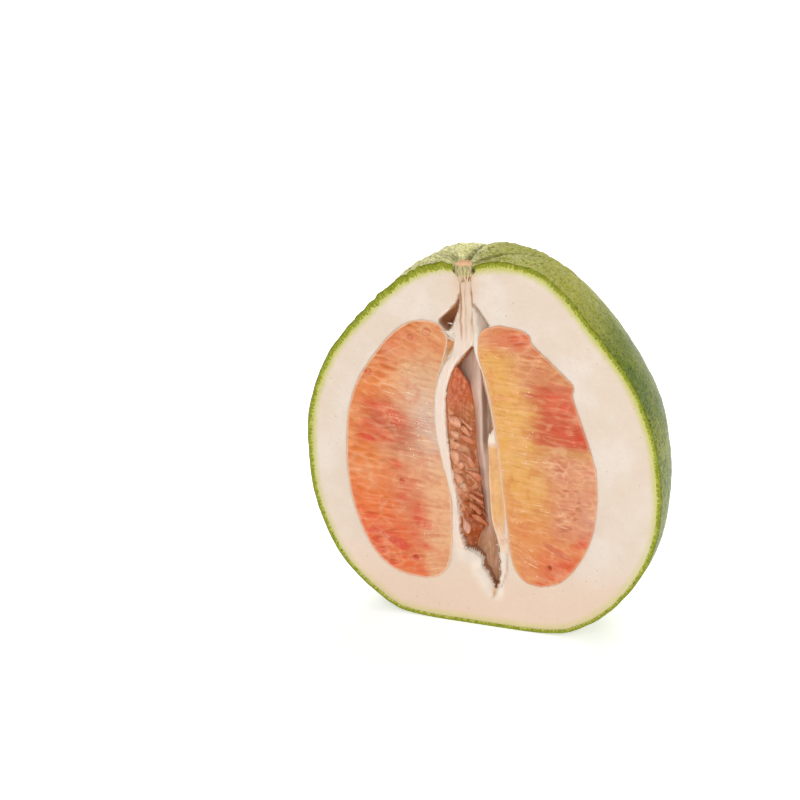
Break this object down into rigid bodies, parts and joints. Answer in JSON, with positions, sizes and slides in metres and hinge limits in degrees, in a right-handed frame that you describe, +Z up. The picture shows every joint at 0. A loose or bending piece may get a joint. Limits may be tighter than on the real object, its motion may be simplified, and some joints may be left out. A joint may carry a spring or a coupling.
{
  "type": "pomelo half",
  "caption": "Half of a green-skinned pomelo cut from stem to base: peel, thick white pith, coral and golden pulp, core, membranes and an open middle.",
  "frame": {"origin": "middle of the bounding box, on the surface that the fruit stands on", "axes": "+Z up from the flat base towards the stem, -Y out of the cut face, +X to the right as the cut face is looked at"},
  "size_m": [0.1508, 0.0768, 0.1559],
  "materials": {
    "green_peel": "waxy green citrus skin with fine sunken pores and a satin gloss",
    "white_pith": "dry spongy creamy white, matt, with a faint fine grain",
    "membrane": "thin parchment-like wall, beige and slightly translucent",
    "coral_pulp": "wet translucent juice sacs, coral to golden orange",
    "gold_pulp": "wet translucent juice sacs, pale golden",
    "stem_bark": "dry grey-green cracked bark with a tan cut end"
  },
  "bodies": {
    "root": {"peel": "green_peel", "pith": "white_pith", "core": "membrane", "wall_right": "membrane", "wall_back": "membrane", "pulp_left": "coral_pulp", "pulp_right": "coral_pulp", "pulp_back": "coral_pulp", "pulp_sliver": "gold_pulp", "stem": "stem_bark"}
  },
  "joints": []
}
